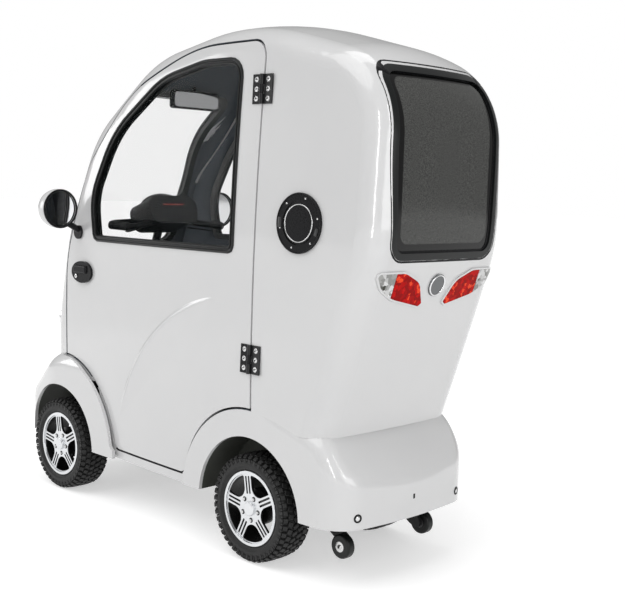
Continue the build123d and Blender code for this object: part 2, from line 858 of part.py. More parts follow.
floor_top = floor_z + wall
seat_z = 560
seat_box_half = 185
seat_box_from = -30
seat_box_to = 250
seat_box_wall = 3
strap_width = 12
strap_from = 180
strap_to = 420
strap_tall = 20
upright_y = 400
upright_deep = 40
upright_tall = 240
upright_lean = 17
seat_box = block(-seat_box_half, seat_box_half, seat_box_from, seat_box_to, floor_top, seat_z)
seat_box -= block(seat_box_wall - seat_box_half, seat_box_half - seat_box_wall, seat_box_from + seat_box_wall,
                  seat_box_to - seat_box_wall, floor_top + seat_box_wall, seat_z - seat_box_wall)
for x in (-seat_box_half - strap_width + 1, seat_box_half - 1):
    seat_box += block(x, x + strap_width, strap_from, strap_to, seat_z - strap_tall, seat_z)
    seat_box += Pos(x + strap_width / 2, upright_y, seat_z + upright_tall / 4) * Rot(-upright_lean, 0, 0) * Box(
        strap_width, upright_deep, upright_tall)
save("seat_frame", seat_box)
battery_half = 165
battery_long = 210
battery_top = 430
battery = block(-battery_half, battery_half, 0, battery_long, floor_top + seat_box_wall + fit, battery_top)
save("battery_pack", battery)

cushion_half = 205
cushion_from = -90
cushion_to = 330
cushion_tall = 100
padding_radius = 30
back_half_width = 183.7
back_half_deep = 45
back_below = 300
back_above = 330
back_y = 450
back_z = 960
back_lean = 14
cushion = block(-cushion_half, cushion_half, cushion_from, cushion_to, seat_z + fit, seat_z + cushion_tall)
cushion = cushion.fillet(padding_radius, cushion.edges())
save("seat_cushion", cushion)
backrest = block(-back_half_width, back_half_width, -back_half_deep, back_half_deep, -back_below, back_above)
backrest = backrest.fillet(padding_radius, backrest.edges())
backrest = Pos(0, back_y, back_z) * Rot(-back_lean, 0, 0) * backrest
save("seat_back", backrest)

# Steering: a fixed post, and the tiller whose shaft turns in it

column_low = Vector(0, -505, 470)
column_top = Vector(0, -315, 1000)
column_dir = (column_top - column_low).normalized()
shaft_radius = 15
post_radius = 28
post_below = 40
post_above = 150
post_base_z = 451
post = rod(column_low - column_dir * post_below, column_low + column_dir * post_above, post_radius)
post -= rod(column_low - column_dir * fit, column_low + column_dir * (post_above + 20), shaft_radius + fit)
post -= block(-200, 200, -900, 0, 300, post_base_z)
save("steering_post", post)

head_half_width = 105
head_half_deep = 62
head_half_tall = 50
head_round = 38
head_lean = 20
head_y = -300
head_z = 1010
bar_radius = 11
bar_bend = 26
# Half of the loop handlebar, seen from above: x, y, z
bar_corners = (
    (70, -330, 985),
    (190, -345, 978),
    (236, -285, 972),
    (200, -215, 970),
    (70, -268, 985),
)
shaft = rod(column_low, column_top, shaft_radius)
head = block(-head_half_width, head_half_width, -head_half_deep, head_half_deep, -head_half_tall, head_half_tall)
head = head.fillet(head_round, head.edges().filter_by(Axis.Y))
head = Pos(0, head_y, head_z) * Rot(head_lean, 0, 0) * head
bar_path = FilletPolyline(*bar_corners, radius=bar_bend)
bar = sweep(Plane(origin=bar_path @ 0, z_dir=bar_path % 0) * Circle(bar_radius), path=bar_path)
tiller = shaft + head + bar + mirror(bar, about=Plane.YZ)
save("tiller", tiller)

# Room mirror on its stalk under the roof

room_y = -140
room_z = 1412
room_half_width = 105
room_half_deep = 12
room_half_tall = 32
room_stalk = 8
room_mirror = block(-room_half_width, room_half_width, -room_half_deep, room_half_deep, -room_half_tall, room_half_tall)
room_mirror = room_mirror.fillet(10, room_mirror.edges())
room_mirror = Pos(0, room_y, room_z) * room_mirror
room_mirror += rod((0, room_y, room_z + room_half_tall / 2), (0, room_y - 10, room_z + 68), room_stalk)
room_mirror -= shell
save("room_mirror", room_mirror)

# The stored origin lies under the middle of the whole vehicle

low = min(piece.bounding_box().min.Y for piece in pieces.values())
high = max(piece.bounding_box().max.Y for piece in pieces.values())
frame_shift = round(-(low + high) / 2, 1)
print("frame shift", frame_shift, "from", low, high)
for name, piece in pieces.items():
    export_step(Pos(0, frame_shift, 0) * piece, f"parts/{name}.step")
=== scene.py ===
import bmesh
import bpy
import json
import math
from mathutils import Matrix, Vector
from mathutils.bvhtree import BVHTree


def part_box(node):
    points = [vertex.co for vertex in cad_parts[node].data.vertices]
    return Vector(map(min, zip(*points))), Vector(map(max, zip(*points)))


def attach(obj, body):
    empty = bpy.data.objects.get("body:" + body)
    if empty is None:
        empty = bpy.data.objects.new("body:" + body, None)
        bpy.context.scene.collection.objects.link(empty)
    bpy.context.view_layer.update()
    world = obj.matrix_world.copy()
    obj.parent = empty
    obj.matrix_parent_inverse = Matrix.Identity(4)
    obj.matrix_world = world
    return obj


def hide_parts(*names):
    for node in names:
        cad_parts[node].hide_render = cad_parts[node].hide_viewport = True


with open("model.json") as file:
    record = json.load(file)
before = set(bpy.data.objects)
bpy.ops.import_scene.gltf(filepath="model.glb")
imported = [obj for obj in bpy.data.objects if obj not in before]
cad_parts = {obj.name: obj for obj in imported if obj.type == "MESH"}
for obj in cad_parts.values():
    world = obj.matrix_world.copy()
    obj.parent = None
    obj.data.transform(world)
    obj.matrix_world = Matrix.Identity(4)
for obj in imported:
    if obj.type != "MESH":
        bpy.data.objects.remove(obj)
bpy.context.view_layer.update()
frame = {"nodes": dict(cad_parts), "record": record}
nodes = frame["nodes"]
pairs = (("left", 1), ("right", -1))


def boxMiddle(node):
    low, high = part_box(node)
    return (low + high) / 2


wheels = {}  # wheel body: the middle of its tyre
for end in ("front", "rear"):
    for side, sign in pairs:
        wheels[f"{end}_wheel_{side}"] = boxMiddle(f"{end}_tyre_{side}")
midY = (wheels["front_wheel_left"].y + wheels["rear_wheel_left"].y) / 2


def spot(x, y, z):
    return Vector((x, y + midY, z))  # y is measured from the middle between the axles


def linkedObject(name, data):
    made = bpy.data.objects.new(name, data)
    bpy.context.scene.collection.objects.link(made)
    return made


# Camera of the photograph

view = {
    "place": (2.4492, 2.8766, 1.1414), "yaw": 2.351, "pitch": 0.1075, "roll": 0.032,
    "focalPixels": 1095.0, "centreX": 309.28, "centreY": 300.79,
    "imageWidth": 625, "imageHeight": 600, "sensor": 36.0,
}


def makeCamera(v):
    forward = Vector((-math.sin(v["yaw"]) * math.cos(v["pitch"]),
                      math.cos(v["yaw"]) * math.cos(v["pitch"]), -math.sin(v["pitch"])))
    right = forward.cross(Vector((0, 0, 1))).normalized()
    up = right.cross(forward)
    turnedRight = right * math.cos(v["roll"]) + up * math.sin(v["roll"])
    turnedUp = up * math.cos(v["roll"]) - right * math.sin(v["roll"])
    data = bpy.data.cameras.new("photoCamera")
    data.sensor_fit = "HORIZONTAL"
    data.sensor_width = v["sensor"]
    data.lens = v["focalPixels"] / v["imageWidth"] * v["sensor"]
    data.shift_x = (v["imageWidth"] / 2 - v["centreX"]) / v["imageWidth"]
    data.shift_y = (v["centreY"] - v["imageHeight"] / 2) / v["imageWidth"]
    camera = linkedObject("photoCamera", data)
    turned = Matrix((turnedRight, turnedUp, -forward)).transposed().to_4x4()
    turned.translation = spot(*v["place"])
    camera.matrix_world = turned
    bpy.context.scene.camera = camera


makeCamera(view)
print("camera in place")


# Shader helpers: every material is built from nodes on Object coordinates

def newMaterial(name):
    mat = bpy.data.materials.new(name)
    mat.use_nodes = True
    tree = mat.node_tree
    return mat, tree, tree.nodes["Principled BSDF"]


def addMath(tree, operation, first, second=None):
    made = tree.nodes.new("ShaderNodeMath")
    made.operation = operation
    for socket, value in zip(made.inputs, (first, second)):
        if isinstance(value, (int, float)):
            socket.default_value = value
        elif value is not None:
            tree.links.new(value, socket)
    return made.outputs[0]


def objectPoint(tree, centre=(0, 0, 0), stretch=(1, 1, 1)):
    mapping = tree.nodes.new("ShaderNodeMapping")
    mapping.inputs["Scale"].default_value = stretch
    mapping.inputs["Location"].default_value = [-c * s for c, s in zip(centre, stretch)]
    tree.links.new(tree.nodes.new("ShaderNodeTexCoord").outputs["Object"], mapping.inputs["Vector"])
    return mapping.outputs["Vector"]


def splitPoint(tree, point):
    split = tree.nodes.new("ShaderNodeSeparateXYZ")
    tree.links.new(point, split.inputs["Vector"])
    return split.outputs


def noiseOf(tree, scale, detail=3.0, roughness=0.5, stretch=(1, 1, 1)):
    noise = tree.nodes.new("ShaderNodeTexNoise")
    noise.inputs["Scale"].default_value = scale
    noise.inputs["Detail"].default_value = detail
    noise.inputs["Roughness"].default_value = roughness
    tree.links.new(objectPoint(tree, stretch=stretch), noise.inputs["Vector"])
    return noise.outputs["Fac"]


def cellsOf(tree, scale, output="Distance", stretch=(1, 1, 1)):
    cells = tree.nodes.new("ShaderNodeTexVoronoi")
    cells.inputs["Scale"].default_value = scale
    tree.links.new(objectPoint(tree, stretch=stretch), cells.inputs["Vector"])
    return cells.outputs[output]


def spread(tree, source, low, high, fromLow=0.0, fromHigh=1.0):
    ramp = tree.nodes.new("ShaderNodeMapRange")
    for name, value in (("From Min", fromLow), ("From Max", fromHigh), ("To Min", low), ("To Max", high)):
        ramp.inputs[name].default_value = value
    tree.links.new(source, ramp.inputs["Value"])
    return ramp.outputs["Result"]


def tintBetween(tree, source, first, second):
    mix = tree.nodes.new("ShaderNodeMix")
    mix.data_type = "RGBA"
    for name, colour in (("A", first), ("B", second)):
        if isinstance(colour, tuple):
            mix.inputs[name].default_value = (*colour, 1)
        else:
            tree.links.new(colour, mix.inputs[name])
    tree.links.new(source, mix.inputs["Factor"])
    return mix.outputs["Result"]


def bumpFrom(tree, shader, source, distance, strength=0.5):
    bump = tree.nodes.new("ShaderNodeBump")
    bump.inputs["Distance"].default_value = distance
    bump.inputs["Strength"].default_value = strength
    tree.links.new(source, bump.inputs["Height"])
    tree.links.new(bump.outputs["Normal"], shader.inputs["Normal"])


def mouldedFinish(name, dark, light, rough, roughSpread, grain, grainDepth, coat=0.0, coatRough=0.03, metal=0.0,
                  broadScale=5.0, specular=0.5):
    mat, tree, shader = newMaterial(name)
    tree.links.new(tintBetween(tree, noiseOf(tree, broadScale), dark, light), shader.inputs["Base Color"])
    fine = noiseOf(tree, grain)
    tree.links.new(spread(tree, fine, rough - roughSpread, rough + roughSpread), shader.inputs["Roughness"])
    shader.inputs["Metallic"].default_value = metal
    shader.inputs["Specular IOR Level"].default_value = specular
    shader.inputs["Coat Weight"].default_value = coat
    shader.inputs["Coat Roughness"].default_value = coatRough
    if grainDepth:
        bumpFrom(tree, shader, fine, grainDepth)
    return mat


def glassFinish(name, s):
    mat, tree, shader = newMaterial(name)
    smear = noiseOf(tree, s["smear"])
    tree.links.new(spread(tree, smear, *s["rough"]), shader.inputs["Roughness"])
    tree.links.new(tintBetween(tree, smear, s["light"], s["dark"]), shader.inputs["Base Color"])
    shader.inputs["Alpha"].default_value = s["alpha"]
    return mat


def rimFinish(s):
    mat, tree, shader = newMaterial("machinedRim")
    depth = addMath(tree, "ABSOLUTE", splitPoint(tree, objectPoint(tree))[0])
    # black deeper than the face plane: the pockets' real black paint, and painted shade in the recesses and on the
    # drum behind the spokes
    bright = spread(tree, depth, 0, 1, s["blackPaintAndShadeTo"], s["brightFrom"])
    brushed = noiseOf(tree, s["brushScale"], stretch=s["brushStretch"])
    silver = tintBetween(tree, brushed, s["silverDark"], s["silverLight"])
    tree.links.new(tintBetween(tree, bright, s["black"], silver), shader.inputs["Base Color"])
    tree.links.new(bright, shader.inputs["Metallic"])
    tree.links.new(spread(tree, brushed, *s["rough"]), shader.inputs["Roughness"])
    return mat


lens = {
    "stretch": (1, 0.3, 1), "depth": 0.002, "bump": 0.35, "darkTo": 0.25, "glintFrom": 0.86, "glintTo": 0.9,
    "rough": 0.14, "specular": 0.02, "coat": 0.12, "coatRough": 0.02,
}


def lensFinish(name, facets, dark, light, glint):
    s = lens
    mat, tree, shader = newMaterial(name)
    spark = splitPoint(tree, cellsOf(tree, facets, "Color", stretch=s["stretch"]))[0]
    ribs = cellsOf(tree, facets, "Distance", stretch=s["stretch"])
    base = tintBetween(tree, spread(tree, spark, 0, 1, s["darkTo"], s["glintTo"]), dark, light)
    tree.links.new(tintBetween(tree, spread(tree, spark, 0, 1, s["glintFrom"], s["glintTo"]), base, glint),
                   shader.inputs["Base Color"])
    shader.inputs["Roughness"].default_value = s["rough"]
    shader.inputs["Specular IOR Level"].default_value = s["specular"]
    shader.inputs["Coat Weight"].default_value = s["coat"]
    shader.inputs["Coat Roughness"].default_value = s["coatRough"]
    bumpFrom(tree, shader, ribs, s["depth"], s["bump"])
    return mat


def borderedGlass(s):
    mat, tree, shader = newMaterial("borderedTint")
    middle = (0, 0, (s["low"] + s["high"]) / 2)
    point = splitPoint(tree, objectPoint(tree, centre=middle))
    beyond = []
    for part, half in ((point[0], s["halfWide"]), (point[2], (s["high"] - s["low"]) / 2)):
        over = addMath(tree, "SUBTRACT", addMath(tree, "ABSOLUTE", part), half - s["corner"])
        beyond.append(addMath(tree, "POWER", addMath(tree, "MAXIMUM", over, 0.0), 2.0))
    away = addMath(tree, "SQRT", addMath(tree, "ADD", *beyond))
    edge = spread(tree, away, 0, 1, s["corner"], s["corner"] + s["blur"])
    grain = noiseOf(tree, s["grain"], s["grainDetail"])
    glass = tintBetween(tree, spread(tree, grain, 0, 1, *s["grainSpread"]), s["dark"], s["light"])
    tree.links.new(tintBetween(tree, edge, glass, s["border"]), shader.inputs["Base Color"])
    tree.links.new(spread(tree, edge, s["alpha"], 1.0), shader.inputs["Alpha"])
    shader.inputs["Specular IOR Level"].default_value = s["specular"]
    tree.links.new(spread(tree, grain, *s["rough"]), shader.inputs["Roughness"])
    return mat


finishes = {
    "white_shell": mouldedFinish("glossWhite", (0.64, 0.64, 0.645), (0.68, 0.68, 0.68), 0.3, 0.04, 60, 0, coat=1.0),
    "grey_tub": mouldedFinish("greyMoulding", (0.03, 0.033, 0.026), (0.045, 0.048, 0.04), 0.6, 0.1, 400, 0.0004),
    "black_plastic": mouldedFinish("blackPlastic", (0.006, 0.006, 0.007), (0.011, 0.011, 0.012), 0.28, 0.08, 300,
                                   0.0002, specular=0.16),
    "black_rubber": mouldedFinish("sealRubber", (0.004, 0.005, 0.005), (0.009, 0.01, 0.01), 0.34, 0.1, 200,
                                  0.0003, specular=0.3),
    "tyre_rubber": mouldedFinish("tyreRubber", (0.012, 0.012, 0.012), (0.024, 0.024, 0.024), 0.5, 0.12, 250,
                                 0.0005, broadScale=30, specular=0.3),
    # the rims' faces shine beyond brightFrom, measured from the middle plane, and are black inside the black
    # threshold: partly the pockets' real black paint, partly painted shade in the recesses and on the drum behind
    # the spokes
    "alloy": rimFinish({"blackPaintAndShadeTo": 0.2868, "brightFrom": 0.2878, "brushScale": 14, "brushStretch": (40, 1, 1),
                        "black": (0.008, 0.008, 0.008), "silverDark": (0.62, 0.63, 0.65),
                        "silverLight": (0.78, 0.79, 0.8), "rough": (0.22, 0.36)}),
    "frame_steel": mouldedFinish("blackSteel", (0.007, 0.007, 0.008), (0.014, 0.014, 0.015), 0.36, 0.08, 150,
                                 0.0002, specular=0.35),
    "bright_trim": mouldedFinish("brightTrim", (0.66, 0.66, 0.67), (0.78, 0.78, 0.79), 0.12, 0.04, 80, 0,
                                 metal=1.0),
    "red_lens": lensFinish("redLens", 90, (0.3, 0.0005, 0.0005), (0.62, 0.003, 0.002), (0.9, 0.07, 0.02)),
    "clear_lens": lensFinish("clearLens", 80, (0.3, 0.3, 0.29), (0.85, 0.85, 0.85), (0.07, 0.07, 0.06)),
    "amber_lens": lensFinish("amberLens", 120, (0.6, 0.16, 0.005), (0.9, 0.32, 0.02), (1.0, 0.6, 0.2)),
    "seat_cover": mouldedFinish("seatCover", (0.014, 0.016, 0.02), (0.028, 0.031, 0.038), 0.5, 0.1, 420, 0.0008,
                                specular=0.3),
    "mirror_face": mouldedFinish("mirrorFace", (0.75, 0.76, 0.77), (0.8, 0.81, 0.82), 0.04, 0.02, 40, 0, metal=1.0),
    "clear_glass": glassFinish("clearGlass", {"smear": 9.0, "light": (0.03, 0.04, 0.04),
                                              "dark": (0.0276, 0.0368, 0.0368), "rough": (0.02, 0.032),
                                              "alpha": 0.045}),
    "tinted_glass": borderedGlass({"halfWide": 0.19, "low": 0.985, "high": 1.432, "corner": 0.03, "blur": 0.003,
                                   "grain": 420, "grainDetail": 1.0, "grainSpread": (0.35, 0.7),
                                   "dark": (0.046, 0.047, 0.045), "light": (0.105, 0.106, 0.101),
                                   "border": (0.004, 0.004, 0.004), "alpha": 0.86, "specular": 0.3,
                                   "rough": (0.05, 0.1)}),
}
extras = {
    "lining": mouldedFinish("liningFelt", (0.06, 0.07, 0.082), (0.09, 0.1, 0.114), 0.85, 0.08, 600, 0.0012,
                            specular=0.2),
    "carpet": mouldedFinish("floorCarpet", (0.012, 0.012, 0.013), (0.03, 0.03, 0.032), 0.92, 0.05, 700, 0.003),
    "darkGrey": mouldedFinish("capGrey", (0.02, 0.02, 0.021), (0.035, 0.035, 0.036), 0.4, 0.08, 350, 0.0004),
    "screen": mouldedFinish("darkScreen", (0.004, 0.006, 0.008), (0.006, 0.008, 0.01), 0.08, 0.02, 60, 0, coat=1.0),
    "accentRed": mouldedFinish("accentRed", (0.45, 0.01, 0.012), (0.6, 0.02, 0.02), 0.3, 0.05, 90, 0, coat=0.4),
    "boltSteel": mouldedFinish("boltSteel", (0.55, 0.55, 0.55), (0.72, 0.72, 0.72), 0.25, 0.06, 500, 0, metal=1.0),
    "discGrey": mouldedFinish("discGrey", (0.06, 0.065, 0.068), (0.09, 0.095, 0.1), 0.3, 0.06, 200, 0, coat=0.5),
}

for part in frame["record"]["subparts"]:
    for slot in nodes[part["node"]].material_slots:
        slot.material = finishes[part["material_slot"]]
nodes["tail_disc"].material_slots[0].material = extras["discGrey"]
print("finishes on the CAD pieces")


# Mesh helpers

mergeDistance = 0.00001


def roundEdges(mesh, edges, offset, segments):
    bmesh.ops.bevel(mesh, geom=edges, offset=offset, offset_type="OFFSET", segments=segments, profile=0.5,
                    affect="EDGES", clamp_overlap=True, material=-1)


def paintFrom(mesh, first, index):
    mesh.faces.ensure_lookup_table()
    for face in mesh.faces[first:]:
        face.material_index = index


def newPiece(name, mesh, body, mats, angle=38.0):
    data = bpy.data.meshes.new(name)
    mesh.to_mesh(data)
    mesh.free()
    piece = linkedObject(name, data)
    for mat in mats:
        data.materials.append(mat)
    data.shade_smooth()
    data.set_sharp_from_angle(angle=math.radians(angle))
    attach(piece, body)
    return piece


def facing(place, outward):
    turned = outward.normalized().to_track_quat("X", "Z").to_matrix().to_4x4()
    return Matrix.Translation(place) @ turned  # local X points outward


def addDisc(mesh, matrix, radius, depth, segments=24, bevel=0.0, index=0):
    first = len(mesh.faces)
    upright = matrix @ Matrix.Translation((depth / 2, 0, 0)) @ Matrix.Rotation(math.pi / 2, 4, "Y")
    made = bmesh.ops.create_cone(mesh, cap_ends=True, segments=segments, radius1=radius, radius2=radius,
                                 depth=depth, matrix=upright)
    if bevel:
        outer = matrix.to_3x3().col[0]
        top = matrix @ Vector((depth, 0, 0))
        rim = [e for v in made["verts"] for e in v.link_edges
               if all(abs((w.co - top).dot(outer)) < bevel / 10 for w in e.verts)]
        roundEdges(mesh, list(set(rim)), bevel, 2)
    paintFrom(mesh, first, index)


def addBlock(mesh, matrix, size, bevel, segments=1, index=0):
    first = len(mesh.faces)
    made = bmesh.ops.create_cube(mesh, size=1, matrix=matrix @ Matrix.Diagonal((*size, 1)))
    roundEdges(mesh, list({e for v in made["verts"] for e in v.link_edges}), bevel, segments)
    paintFrom(mesh, first, index)


def addRing(mesh, matrix, radius, thickness, steps=64, sides=10, index=0):
    first = len(mesh.faces)
    section = matrix @ Matrix.Translation((0, 0, radius)) @ Matrix.Rotation(math.pi / 2, 4, "X")
    made = bmesh.ops.create_circle(mesh, segments=sides, radius=thickness, matrix=section)
    edges = list({e for v in made["verts"] for e in v.link_edges})
    bmesh.ops.spin(mesh, geom=made["verts"] + edges, cent=matrix.translation, axis=matrix.to_3x3().col[0],
                   angle=2 * math.pi, steps=steps, use_merge=True, use_duplicate=False)
    paintFrom(mesh, first, index)


def addDome(mesh, matrix, radius, height, index=0, rings=6):
    first = len(mesh.faces)
    flat = matrix @ Matrix.Diagonal((height / radius, 1, 1, 1)) @ Matrix.Rotation(math.pi / 2, 4, "Y")
    bmesh.ops.create_uvsphere(mesh, u_segments=20, v_segments=2 * rings, radius=radius, matrix=flat)
    paintFrom(mesh, first, index)


def mirrored(mesh, sign):
    if sign < 0:
        bmesh.ops.scale(mesh, vec=(-1, 1, 1), verts=mesh.verts)
        bmesh.ops.reverse_faces(mesh, faces=mesh.faces)
    return mesh


# Places on the outside of the body

rayStart = 3.0  # well outside the body
flank = {"halfWidth": 0.313, "bow": 9.5, "widestY": 0.4, "widestZ": 0.75}


def flankX(y, z):
    s = flank
    return s["halfWidth"] - s["bow"] + math.sqrt(s["bow"] ** 2 - (y - s["widestY"]) ** 2 - (z - s["widestZ"]) ** 2)


def flankFrame(y, z, stand=0.0):
    outward = Vector((flank["bow"], y - flank["widestY"], z - flank["widestZ"]))
    return facing(spot(flankX(y, z) + stand, y, z), outward)


def surfaceOf(*names):
    joined = bmesh.new()
    for name in names:
        joined.from_mesh(nodes[name].data)
    bmesh.ops.remove_doubles(joined, verts=joined.verts, dist=mergeDistance)
    tree = BVHTree.FromBMesh(joined)
    joined.free()
    return tree


def endPoint(tree, x, z, way=1):
    start = Vector((x, way * rayStart, z))
    place, normal = tree.ray_cast(start, Vector((0, -way, 0)))[:2]
    if place is None:
        return None, None
    return place, normal if normal.y * way > 0 else -normal


def roundedLoop(corners, step):
    points = []
    for count, (a, b, radius) in enumerate(corners):
        here = Vector((a, b))
        before = Vector(corners[count - 1][:2])
        after = Vector(corners[(count + 1) % len(corners)][:2])
        arriving = (here - before).normalized()
        leaving = (after - here).normalized()
        turn = arriving.angle(leaving)
        reach = radius * math.tan(turn / 2)
        inward = (leaving - arriving).normalized()
        centre = here + inward * (radius / math.cos(turn / 2))
        first = here - arriving * reach - centre
        pieces = max(2, round(turn * radius / step))
        way = 1 if arriving.cross(leaving) > 0 else -1
        for i in range(pieces + 1):
            swing = way * turn * i / pieces
            points.append(centre + Vector((first.x * math.cos(swing) - first.y * math.sin(swing),
                                           first.x * math.sin(swing) + first.y * math.cos(swing))))
    even = []
    for count, point in enumerate(points):
        ahead = points[(count + 1) % len(points)]
        run = (ahead - point).length
        if run < mergeDistance / 10:
            continue
        parts = max(1, round(run / step))
        even += [point.lerp(ahead, i / parts) for i in range(parts)]
    return even


def insetLoop(points, inset):
    moved = []
    for count, point in enumerate(points):
        along = (points[(count + 1) % len(points)] - points[count - 1]).normalized()
        moved.append(point + Vector((-along.y, along.x)) * inset)
    return moved


def wholeLoop(half):
    return list(half) + [(-a, b, r) for a, b, r in reversed(half)]


def beadAlong(name, points, radius, body, mat):
    curve = bpy.data.curves.new(name + "Line", "CURVE")
    curve.dimensions = "3D"
    curve.bevel_depth = radius
    curve.bevel_resolution = 3
    line = curve.splines.new("POLY")
    line.points.add(len(points) - 1)
    for knot, point in zip(line.points, points):
        knot.co = (*point, 1)
    line.use_cyclic_u = True
    holder = linkedObject(name + "Line", curve)
    data = bpy.data.meshes.new_from_object(holder)
    bpy.data.objects.remove(holder)
    mesh = bmesh.new()
    mesh.from_mesh(data)
    bmesh.ops.remove_doubles(mesh, verts=mesh.verts, dist=mergeDistance)
    bmesh.ops.recalc_face_normals(mesh, faces=mesh.faces)
    return newPiece(name, mesh, body, [mat], angle=70)


# Tyres: a turned carcass with lugs in rows round the tread, shoulders and sidewalls

tyre = {
    # half section, offset from the middle plane and radius
    "section": ((0.0, 0.1578), (0.024, 0.1574), (0.040, 0.1552), (0.0495, 0.1495), (0.0545, 0.1415),
                (0.0565, 0.1330), (0.0558, 0.1275), (0.0546, 0.1268), (0.0541, 0.1240), (0.0528, 0.1232),
                (0.0508, 0.1190), (0.0471, 0.1158), (0.0471, 0.1103)),
    "steps": 88, "pitches": 44, "bevel": 0.0013, "shift": 0.5,
    # rows: offset, radius, width, length, height, tilt and skew in degrees, share of the pitch
    "rows": (
        (0.0105, 0.1608, 0.0185, 0.0140, 0.0078, 0, 26, 0.0),
        (0.0315, 0.1598, 0.0175, 0.0150, 0.0080, 7, -20, 0.42),
        (0.0478, 0.1550, 0.0130, 0.0140, 0.0110, 36, 0, 0.0),
        (0.0541, 0.1440, 0.0052, 0.0108, 0.0150, 6, 0, 0.0),
        (0.0548, 0.1475, 0.0040, 0.0060, 0.0080, 12, 0, 0.5),
    ),
}


def makeTyre(s):
    mesh = bmesh.new()
    half = list(s["section"])
    outline = [(-a, r) for a, r in reversed(half[1:])] + half
    verts = [mesh.verts.new((a, 0, r)) for a, r in outline]
    edges = [mesh.edges.new((verts[i - 1], verts[i])) for i in range(len(verts))]
    bmesh.ops.spin(mesh, geom=verts + edges, cent=(0, 0, 0), axis=(1, 0, 0), angle=2 * math.pi, steps=s["steps"],
                   use_merge=True, use_duplicate=False)
    bmesh.ops.recalc_face_normals(mesh, faces=mesh.faces)
    pitch = bmesh.new()
    step = 2 * math.pi / s["pitches"]
    for offset, radius, wide, length, tall, tilt, skew, share in s["rows"]:
        for sign in (1, -1):
            late = share + (s["shift"] if sign < 0 else 0.0)
            place = (Matrix.Rotation(step * late, 4, "X") @ Matrix.Translation((sign * offset, 0, radius))
                     @ Matrix.Rotation(math.radians(sign * tilt), 4, "Y")
                     @ Matrix.Rotation(math.radians(skew), 4, "Z"))
            addBlock(pitch, place, (wide, length, tall), s["bevel"])
    bmesh.ops.spin(pitch, geom=pitch.verts[:] + pitch.edges[:] + pitch.faces[:], cent=(0, 0, 0), axis=(1, 0, 0),
                   angle=step * (s["pitches"] - 1), steps=s["pitches"] - 1, use_duplicate=True, use_merge=False)
    lugs = bpy.data.meshes.new("lugs")
    pitch.to_mesh(lugs)
    pitch.free()
    mesh.from_mesh(lugs)
    made = bpy.data.meshes.new("tyreForm")
    mesh.to_mesh(made)
    mesh.free()
    return made


wheelBolts = {
    "face": 0.0470, "circle": 0.035, "count": 5, "start": -8.0, "washer": 0.0078, "washerDepth": 0.0006,
    "hex": 0.0052, "hexDepth": 0.0042, "hexRound": 0.0006, "socket": 0.0024, "socketDepth": 0.0002,
}


def addWheelBolts(mesh, centre, s):
    for i in range(s["count"]):
        turn = math.radians(s["start"] + 360 / s["count"] * i)
        out = (Matrix.Translation(centre) @ Matrix.Rotation(turn, 4, "X")
               @ Matrix.Translation((s["face"], s["circle"], 0)))
        top = out @ Matrix.Translation((s["hexDepth"], 0, 0))
        addDisc(mesh, out, s["washer"], s["washerDepth"], 28, index=1)
        addDisc(mesh, out, s["hex"], s["hexDepth"], 6, bevel=s["hexRound"])
        addDisc(mesh, top, s["socket"], s["socketDepth"], 6, index=1)


tyreForm = makeTyre(tyre)
for body, middle in wheels.items():
    end, side = body.split("_wheel_")
    sign = 1 if side == "left" else -1
    label = end.capitalize() + side.capitalize()
    mesh = bmesh.new()
    mesh.from_mesh(tyreForm)
    mirrored(mesh, sign)
    bmesh.ops.translate(mesh, vec=middle, verts=mesh.verts)
    tread = newPiece("treadedTyre" + label, mesh, body, [finishes["tyre_rubber"]], angle=32)
    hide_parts(f"{end}_tyre_{side}")
    mesh = bmesh.new()
    addWheelBolts(mesh, Vector((abs(middle.x), middle.y, middle.z)), wheelBolts)
    newPiece("wheelBolts" + label, mirrored(mesh, sign), body,
             [extras["boltSteel"], finishes["frame_steel"]])
print("tyres and wheel bolts")


# Rubber beads round the door windows and the windscreen

windows = {
    "step": 0.018, "outerInset": 0.0035, "outerRadius": 0.0048, "innerInset": 0.0158, "innerRadius": 0.0034,
    # door window: y from the middle between the axles, z, corner radius
    "door": ((-0.326, 0.917, 0.028), (-0.358, 1.070, 0.18), (-0.230, 1.292, 0.4), (0.040, 1.462, 0.35),
             (0.250, 1.502, 0.3), (0.438, 1.502, 0.062), (0.438, 0.925, 0.024)),
    # x, z, corner radius of the +X half
    "screen": ((0.226, 0.880, 0.055), (0.220, 1.150, 0.9), (0.188, 1.438, 0.06)),
}


def makeWindowBeads(s):
    rubber = finishes["black_rubber"]
    beads = (("Outer", s["outerInset"], s["outerRadius"]), ("Inner", s["innerInset"], s["innerRadius"]))
    loop = roundedLoop(list(reversed(s["door"])), s["step"])
    for label, inset, radius in beads:
        points = [spot(flankX(p.x, p.y), p.x, p.y) for p in insetLoop(loop, inset)]
        for side, sign in pairs:
            placed = [Vector((sign * p.x, p.y, p.z)) for p in points]
            beadAlong("doorBead" + label + side.capitalize(), placed, radius, "door_" + side,
                      rubber)
    tree = surfaceOf("cabin_shell", "windscreen_seal", "windscreen")
    loop = roundedLoop(wholeLoop(s["screen"]), s["step"])
    for label, inset, radius in beads:
        points = [endPoint(tree, p.x, p.y, -1)[0] for p in insetLoop(loop, inset)]
        points = [p for p in points if p is not None]
        beadAlong("screenBead" + label, points, radius, "root", rubber)


makeWindowBeads(windows)
print("window beads")


# Gloss black border round the rear window and the crest of the crease in each door

rearBorder = {
    "corners": ((0.231, 0.932, 0.056), (0.246, 1.220, 1.5), (0.237, 1.478, 0.058)), "step": 0.015, "proud": 0.0014,
    "sunk": 0.001, "bands": ((0.0, 0.3), (0.004, 1.0), (0.014, 1.2), (0.024, 1.0), (0.033, 0.4)),
}
crease = {
    "y": 0.487, "z": 0.122, "radius": 0.674, "from": 99.7, "to": 161.3, "steps": 64, "fade": 0.16, "proud": 0.0011,
    "sunk": 0.0006, "inner": -0.010, "crest": -0.001, "outer": 0.013, "rows": 5, "thick": 0.0008, "rayFrom": 2,
}


